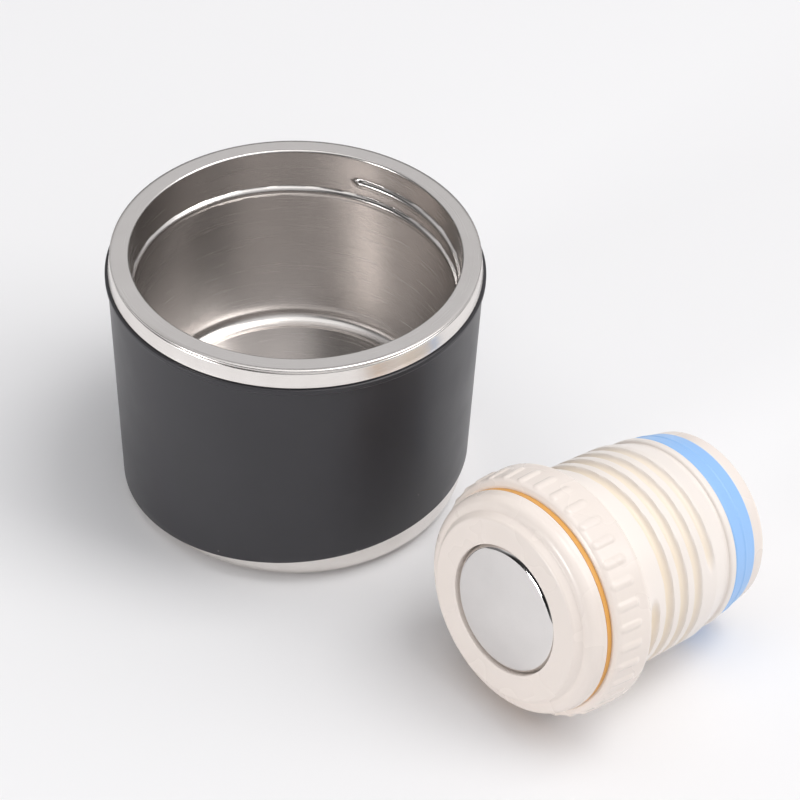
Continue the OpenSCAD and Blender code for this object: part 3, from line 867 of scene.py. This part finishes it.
@dataclass
class Stopper:
    """The lying stopper, modelled upright on its tail. Sizes are in millimetres.

    Attributes:
        finishes: The object's materials.
        length: Length from tail to head.
        lean: How far the head is raised in degrees.
        turn: Direction in which the head points, in degrees.
        head_at: Where the middle of the head's face lies.
        grip: Largest radius of the grip ring.
        grip_front: Radius of the ring's front edge.
        grip_low: Height of the ring's rear face.
        grip_top: Height of the ring's front edge.
        ribs: Number of grip ribs.
        rib: Radius of a rib's round bar.
        rib_proud: How far a rib stands out.
        rib_half: Half the length of a rib's straight part.
        rib_middle: Height of the ribs' middle.
        neck_top: Radius of the neck under the ring.
        neck_low: Radius of the neck where the thread ends.
        neck_end: Radius of the neck above the flange.
        groove: Radius of the thread's round groove.
        groove_floor: Radius at which the groove's bottom lies.
        groove_most: Deepest push of the groove, which counts as its bottom for the painted groove shade.
        thread_low: Height of the groove's lower end.
        thread_turn: Direction of the groove's lower end in degrees.
        thread_pitch: Rise of one turn of the groove.
        thread_turns: Number of its turns.
        fade: Way over which the groove runs out at each end.
        fade_rise: How far its bottom rises there.
        flange: Radius of the flange above the blue seal.
        flange_low: Height of the flange's lower face.
        flange_top: Height of the flange's upper edge.
        head: Largest radius of the head cap.
        head_low: Height of the head cap's lower edge.
        bore: Radius of the button's bore.
        tail: Radius of the tail cap's disc.
    """

    finishes: Finishes
    length: float = 60.2
    lean: float = 8.74663
    turn: float = 220.0
    head_at: Point3 = (43.96, -77.43, 29.4786)
    grip: float = 27.4
    grip_front: float = 25.5
    grip_low: float = 43.05
    grip_top: float = 53.25
    ribs: int = 36
    rib: float = 1.85
    rib_proud: float = 0.37
    rib_half: float = 1.95
    rib_middle: float = 49.6
    neck_top: float = 23.6
    neck_low: float = 23.15
    neck_end: float = 22.0
    groove: float = 1.35
    groove_floor: float = 22.35
    groove_most: float = 1.3
    thread_low: float = 20.2
    thread_turn: float = 110.0
    thread_pitch: float = 4.55
    thread_turns: float = 4.0
    fade: float = 5.0
    fade_rise: float = 0.9
    flange: float = 22.36
    flange_low: float = 11.4
    flange_top: float = 13.35
    head: float = 25.0
    head_low: float = 54.4
    bore: float = 14.75
    tail: float = 20.46

    @property
    def place(self) -> Matrix:
        """Returns the matrix that lays an upright piece on the table."""
        spot = Matrix.Translation(Vector(self.head_at) * MM)
        swing = Matrix.Rotation(math.radians(self.turn), 4, "Z")
        tip = Matrix.Rotation(math.radians(90 - self.lean), 4, "Y")
        return spot @ swing @ tip @ Matrix.Translation((0, 0, -self.length * MM))

    def rib_rise(self, point: Vector) -> float:
        """Says how far a grip rib stands out at a point of the ring.

        Args:
            point: A point of the upright ring in millimetres.

        Returns:
            The rise in millimetres, 0 between the ribs.
        """
        reach = math.hypot(point.x, point.y)
        if reach < self.grip_front + 0.3:
            return 0.0
        share = math.degrees(math.atan2(point.y, point.x)) * self.ribs / 360
        across = math.radians(abs(share - round(share)) * 360 / self.ribs) * reach
        away = math.hypot(across, max(0.0, abs(point.z - self.rib_middle) - self.rib_half))
        rise = soft_rise(self.rib_proud - self.rib + round_height(self.rib, away), softness=0.05)
        return min(self.rib_proud, rise)

    def groove_depth(self, point: Vector) -> float:
        """Says how deep the thread groove lies at a point of the neck.

        Args:
            point: A point of the upright neck in millimetres.

        Returns:
            The depth in millimetres, 0 on the crests.
        """
        reach = math.hypot(point.x, point.y)
        if reach < self.neck_end:
            return 0.0
        line = ScrewLine(reach, self.thread_low, self.thread_turn, self.thread_pitch, self.thread_turns)
        away, run = line.nearest(point)
        shallow = self.fade_rise * max(0.0, 1 - run / self.fade) ** 2
        middle = self.groove_floor + self.groove + shallow
        return soft_rise(reach - middle + round_height(self.groove, away), softness=0.16)

    def set_piece(self, obj: Piece, finish: Material, slot: Slot, node: str) -> None:
        """Smooths a fixed piece, lays it on the table and dresses it.

        Args:
            obj: The upright piece.
            finish: Its material.
            slot: The record's material slot.
            node: The CAD node that it replaces.
        """
        Bench.finish(obj)
        Bench.lay(obj, self.place)
        dress(obj, finish, Body.STOPPER, slot, node)

    def build_grip(self) -> None:
        """Models the grip ring with its ribs."""
        inside, edge, front_edge = 21.2, 1.5, 0.25
        bulge = self.grip - 0.5
        front = self.grip_front - 0.15
        rear = (self.grip - 0.017, self.grip_low + edge + 0.3)
        outline = [
            (inside, self.grip_top),
            *rows((inside + 0.8, self.grip_top), (front, self.grip_top), 1.2),
            *arc((front, self.grip_top - front_edge), front_edge, 85, 40, 3),
            *arc((bulge - edge, self.grip_top - edge), edge, 58, 4, 10),
            *rows((bulge + 0.02, self.grip_top - edge - 0.2), rear, 0.25),
            *arc((self.grip - edge, self.grip_low + edge), edge, 3.9, -86, 14),
            *rows((self.grip - edge - 0.3, self.grip_low), (self.neck_top - 0.3, self.grip_low), 0.6),
            (inside, self.grip_low),
        ]
        obj = Bench.turn("stopper_grip_ring", outline, 1080)
        Bench.press(obj, self.rib_rise, self.rib_proud)
        self.set_piece(obj, self.finishes.ivory, Slot.IVORY, "stopper_body")

    def build_neck(self) -> None:
        """Models the screw neck with its rounded thread and flange."""
        inside, crest_low = 21.0, 18.85
        tube, tube_low, bore, wide_bore = 18.9, 4.0, 16.7, 19.5
        joint = self.grip_low + 0.3
        taper_low = (self.neck_end + 0.06, self.flange_top + 1.3)
        outline = [
            (inside, joint),
            (self.neck_top + 0.62, joint),
            *arc((self.neck_top + 0.6, self.grip_low - 0.6), 0.6, 100, 180, 6),
            *rows((self.neck_top, self.grip_low - 0.8), (self.neck_low, crest_low), 0.2),
            *rows((self.neck_low - 0.04, crest_low - 0.25), taper_low, 0.5),
            *arc((self.neck_end + 0.5, self.flange_top + 0.55), 0.8, 150, 215, 7),
            *arc((self.flange - 0.75, self.flange_top - 0.75), 0.75, 75, 5, 8),
            *arc((self.flange - 0.3, self.flange_low + 0.3), 0.3, 0, -85, 5),
            (tube, self.flange_low),
            (tube, tube_low),
            (bore, tube_low),
            (bore, self.flange_top + 2),
            (wide_bore, self.flange_top + 3),
        ]
        obj = Bench.turn("stopper_neck", outline, 288)
        # The groove's depth shares are kept in the groove attribute, which the thread's material turns into
        # painted shade.
        Bench.press(obj, self.groove_depth, -self.groove_most, "groove")
        self.set_piece(obj, self.finishes.ivory_thread_painted_light, Slot.IVORY, "stopper_body")

    def build_head(self) -> None:
        """Models the head cap: face, soft step, rounded shoulder and bore."""
        face, step, rounding, edge, bore_edge = 21.0, 1.8, 2.6, 0.8, 0.25
        plug, plug_bore, plug_low = 20.9, 19.0, 34.6
        guide, guide_low, roof = self.bore + 2, 44.3, self.length - 2.4
        shoulder = (self.head - 0.2 - rounding, self.length - step - rounding)
        outline = [
            (self.bore, self.length - 6),
            *arc((self.bore + bore_edge, self.length - bore_edge), bore_edge, 180, 90, 6),
            *rows((self.bore + 0.6, self.length), (face - edge - 0.2, self.length), 0.8),
            *arc((face - edge, self.length - edge), edge, 88, 36, 8),
            *arc((shoulder[0] - 0.1, self.length - step + 0.6), 0.6, 215, 262, 6),
            *arc(shoulder, rounding, 88, 3, 16),
            *rows((self.head - 0.17, shoulder[1] - 0.2), (self.head, self.head_low + 0.5), 0.3),
            *arc((self.head - 0.4, self.head_low + 0.4), 0.4, 0, -85, 6),
            (plug, self.head_low),
            (plug, plug_low),
            (plug_bore, plug_low),
            (plug_bore, roof),
            (guide, roof),
            (guide, guide_low),
            (self.bore, guide_low),
        ]
        obj = Bench.turn("stopper_head", outline, 256)
        self.set_piece(obj, self.finishes.ivory, Slot.IVORY, "head_cap")

    def build_seal(self) -> None:
        """Models the blue seal with its low ridge."""
        bore, low, high = 18.95, 3.77, 11.33
        end, top = self.tail + 0.5, self.flange - 0.2
        middle = (end + top) / 2
        outline = [
            (bore, low),
            *arc((end - 0.55, low + 0.55), 0.55, -88, -2, 6),
            *rows((end + 0.03, low + 0.8), (middle - 0.06, low + 3.25), 0.5),
            *arc((middle - 0.52, low + 3.8), 0.62, -30, 30, 6),
            *rows((middle + 0.05, low + 4.3), (top - 0.04, high - 0.7), 0.5),
            *arc((top - 0.45, high - 0.45), 0.45, 4, 88, 6),
            (bore, high),
        ]
        obj = Bench.turn("stopper_blue_seal", outline, 224)
        self.set_piece(obj, self.finishes.blue, Slot.BLUE, "neck_seal")

    def build_tail(self) -> None:
        """Models the tail cap: rounded end disc, recess, seat and tube."""
        edge, disc, recess, depth = 1.2, 3.7, 13.2, 3.0
        spigot, spigot_bore, port, seat = 16.45, 14.5, 10.0, depth + 1.6
        outline = [
            (recess, depth),
            *arc((recess + 0.4, 0.4), 0.4, 180, 268, 5),
            *rows((recess + 0.8, 0.0), (self.tail - edge - 0.1, 0.0), 1.2),
            *arc((self.tail - edge, edge), edge, -88, -2, 10),
            *rows((self.tail, edge + 0.2), (self.tail, disc - 0.3), 0.8),
            *arc((self.tail - 0.2, disc - 0.2), 0.2, 0, 85, 4),
            (spigot, disc),
            (spigot, self.flange_low),
            (spigot_bore, self.flange_low),
            (spigot_bore, seat),
            (port, seat),
            (port, depth),
        ]
        obj = Bench.turn("stopper_tail_disc", outline, 224)
        self.set_piece(obj, self.finishes.ivory, Slot.IVORY, "tail_cap")

    def build(self) -> None:
        """Builds the stopper's fixed pieces."""
        self.build_grip()
        self.build_neck()
        self.build_head()
        self.build_seal()
        self.build_tail()


@dataclass
class PushButton:
    """The chromed button, modelled upright in the stopper. Sizes are in millimetres.

    Attributes:
        finishes: The object's materials.
        stopper: The stopper that guides it.
        radius: Radius of its skirt.
        shoulder: Height of the edge's top.
        dome: Rise of the domed face.
        edge: Rounding of the edge.
        skirt_low: Height of the skirt's lower end.
        wall: Thickness of the skirt.
    """

    finishes: Finishes
    stopper: Stopper
    radius: float = 14.6
    shoulder: float = 60.05
    dome: float = 0.5
    edge: float = 1.7
    skirt_low: float = 51.6
    wall: float = 1.2

    def build(self) -> None:
        """Models the button: shallow dome, rounded edge and skirt."""
        edge_at = (self.radius - self.edge, self.shoulder - self.edge)
        ball = (edge_at[0] ** 2 + self.dome**2) / (2 * self.dome)
        end = math.degrees(math.asin(edge_at[0] / ball))
        outline = [
            *arc((0.0, self.shoulder + self.dome - ball), ball, 90, 90 - end, 16),
            *arc(edge_at, self.edge, 86, 2, 14),
            (self.radius, edge_at[1] - 1),
            (self.radius, self.skirt_low),
            (self.radius - self.wall, self.skirt_low),
            (self.radius - self.wall, edge_at[1]),
            (0.0, edge_at[1]),
        ]
        obj = Bench.turn("stopper_push_button", outline, 256, Ends.OPEN)
        Bench.finish(obj)
        Bench.lay(obj, self.stopper.place)
        dress(obj, self.finishes.chrome, Body.BUTTON, Slot.CHROME, "push_button")


@dataclass
class FramePieces:
    """The CAD nodes that keep their own solids.

    Attributes:
        finishes: The object's materials.
        nodes: The loaded CAD nodes by name.
    """

    finishes: Finishes
    nodes: dict[str, Piece]

    def dress(self) -> None:
        """Gives each kept node its finish."""
        finishes = {
            "cup_base": self.finishes.wall,
            "gap_seal": self.finishes.amber,
            "latch_sleeve": self.finishes.grey,
            "button_core": self.finishes.grey,
            "button_seal": self.finishes.soft,
            "button_spring": self.finishes.spring,
            "latch_rotor": self.finishes.grey,
            "valve_stem": self.finishes.grey,
            "spring_seat": self.finishes.spring,
            "valve_spring": self.finishes.spring,
            "valve_plug": self.finishes.ivory,
            "valve_seal": self.finishes.soft,
        }
        for name, finish in finishes.items():
            node = self.nodes[name]
            node.data.materials.clear()
            node.data.materials.append(finish)
            LOG.info("%s: kept CAD solid", name)


@dataclass(frozen=True)
class Lamp:
    """A soft square lamp. Lengths are in metres.

    Attributes:
        name: Name of the lamp.
        spot: Where it hangs.
        size: Length of its side.
        power: Its power in watts.
        colour: Its colour.
        aim: Where it points.
    """

    name: str
    spot: Point3
    size: float
    power: float
    colour: Colour = (1.0, 1.0, 1.0)
    aim: Point3 = (0.02, -0.03, 0.03)

    def hang(self) -> None:
        """Puts the lamp into the scene."""
        lamp = bpy.data.lights.new(self.name, "AREA")
        lamp.shape = "SQUARE"
        lamp.size = self.size
        lamp.energy = self.power
        lamp.color = self.colour
        obj = bpy.data.objects.new(self.name, lamp)
        obj.location = self.spot
        obj.rotation_euler = (Vector(self.aim) - Vector(self.spot)).to_track_quat("-Z", "Y").to_euler()
        bpy.context.scene.collection.objects.link(obj)


def turn_pair(first: Vector, second: Vector, degrees: float) -> tuple[Vector, Vector]:
    """Turns two directions that are square to each other in their plane.

    Args:
        first: The direction that turns towards the second.
        second: The direction that turns away from the first.
        degrees: How far they turn.

    Returns:
        Both directions after the turn.
    """
    along, aside = math.cos(math.radians(degrees)), math.sin(math.radians(degrees))
    return first * along + second * aside, second * along - first * aside


@dataclass
class Studio:
    """Floor, lights and camera.

    Attributes:
        distance: Distance from the camera to the origin in millimetres.
        rise: Height angle of the camera in degrees.
        yaw: Turn of the camera to the right in degrees.
        pitch: Turn of the camera upwards in degrees.
        roll: Turn about the line of sight in degrees.
        focal: Focal length in pixels.
        frame: Width of the frame in pixels.
        floor: Length of the floor's side in metres.
        floor_gap: Gap between floor and cup in millimetres.
    """

    distance: float = 666.8323
    rise: float = 42.6143
    yaw: float = 2.1403
    pitch: float = 1.3139
    roll: float = 0.2055
    focal: float = 2800.0
    frame: float = 800.0
    floor: float = 8.0
    floor_gap: float = 0.02

    def build_camera(self) -> None:
        """Sets the camera at the photo's view."""
        angle = math.radians(self.rise)
        eye = Vector((0, -math.cos(angle), math.sin(angle))) * self.distance * MM
        ahead = -eye.normalized()
        right = Vector((1, 0, 0))
        up = right.cross(ahead)
        ahead, right = turn_pair(ahead, right, self.yaw)
        ahead, up = turn_pair(ahead, up, self.pitch)
        right, up = turn_pair(right, up, self.roll)
        lens = bpy.data.cameras.new("photo_view")
        lens.sensor_width = 36.0
        lens.lens = self.focal / self.frame * lens.sensor_width
        lens.clip_start = 0.01
        camera = bpy.data.objects.new("photo_view", lens)
        camera.matrix_world = Matrix.Translation(eye) @ Matrix((right, up, -ahead)).transposed().to_4x4()
        bpy.context.scene.collection.objects.link(camera)
        bpy.context.scene.camera = camera

    def build_floor(self) -> None:
        """Lays the pale floor."""
        Bench.clear()
        bpy.ops.mesh.primitive_plane_add(size=self.floor, location=(0, 0, -self.floor_gap * MM))
        floor = bpy.context.object
        floor.name = "floor"
        graph = Graph("pale_floor")
        graph.set(Base_Color=(0.88, 0.876, 0.886), Roughness=0.9, Specular_IOR_Level=0.1)
        floor.data.materials.append(graph.material)

    def sky_level(self, tree: bpy.types.NodeTree, towards: Point3, spread: Point, levels: Point) -> Socket:
        """Grades the surrounding light towards one direction.

        Args:
            tree: The world's node tree.
            towards: The direction.
            spread: Closeness to the direction at which the change starts and ends, 1 being straight at it.
            levels: The level away from the direction and straight at it.

        Returns:
            The level as a socket.
        """
        way = tree.nodes.new("ShaderNodeTexCoord")
        near = tree.nodes.new("ShaderNodeVectorMath")
        near.operation = "DOT_PRODUCT"
        near.inputs[1].default_value = Vector(towards).normalized()
        tree.links.new(way.outputs["Generated"], near.inputs[0])
        level = tree.nodes.new("ShaderNodeMapRange")
        level.interpolation_type = "SMOOTHSTEP"
        for socket, number in zip(("From Min", "From Max", "To Min", "To Max"), (*spread, *levels)):
            level.inputs[socket].default_value = number
        tree.links.new(near.outputs["Value"], level.inputs["Value"])
        return level.outputs["Result"]

    def build_lights(self) -> None:
        """Sets the soft lamps and the surrounding light."""
        warm = (1.0, 0.99, 0.98)
        lamps = (
            Lamp("key", spot=(0.75, -0.06, 1.77), size=0.9, power=11.3, colour=warm),
            Lamp("side", spot=(1.43, -0.36, 1.19), size=0.84, power=6.6, colour=warm),
            Lamp("front", spot=(-0.07, -0.28, 1.93), size=1.67, power=9.4),
            Lamp("window", spot=(-1.12, -0.78, 0.22), size=0.35, power=6.6, aim=(0.02, -0.05, 0.03)),
        )
        for lamp in lamps:
            lamp.hang()
        world = bpy.data.worlds.new("studio")
        world.use_nodes = True
        tree = world.node_tree
        above, dark_room = (0.0, 0.0, 1.0), (-0.75, -0.55, 0.4)
        level = self.sky_level(tree, above, spread=(0.2, 0.5), levels=(0.2, 0.76))
        ceiling = self.sky_level(tree, above, spread=(0.78, 0.93), levels=(1.0, 0.25))
        dark_side = self.sky_level(tree, dark_room, spread=(0.7, 0.88), levels=(1.0, 0.06))
        for part in (ceiling, dark_side):
            both = tree.nodes.new("ShaderNodeMath")
            both.operation = "MULTIPLY"
            tree.links.new(level, both.inputs[0])
            tree.links.new(part, both.inputs[1])
            level = both.outputs[0]
        sky = tree.nodes["Background"]
        sky.inputs["Color"].default_value = (0.985, 0.985, 1.0, 1.0)
        tree.links.new(level, sky.inputs["Strength"])
        bpy.context.scene.world = world

    def build(self) -> None:
        """Builds the whole studio."""
        self.build_camera()
        self.build_floor()
        self.build_lights()
        bpy.context.scene.view_settings.view_transform = "Standard"


def main() -> None:
    """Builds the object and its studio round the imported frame."""
    logging.basicConfig(level=logging.INFO, format="%(name)s: %(message)s")
    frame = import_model()
    finishes = Finishes()
    Cup(finishes).build()
    stopper = Stopper(finishes)
    stopper.build()
    PushButton(finishes, stopper).build()
    FramePieces(finishes, frame["nodes"]).dress()
    Studio().build()


if __name__ == "__main__":
    main()
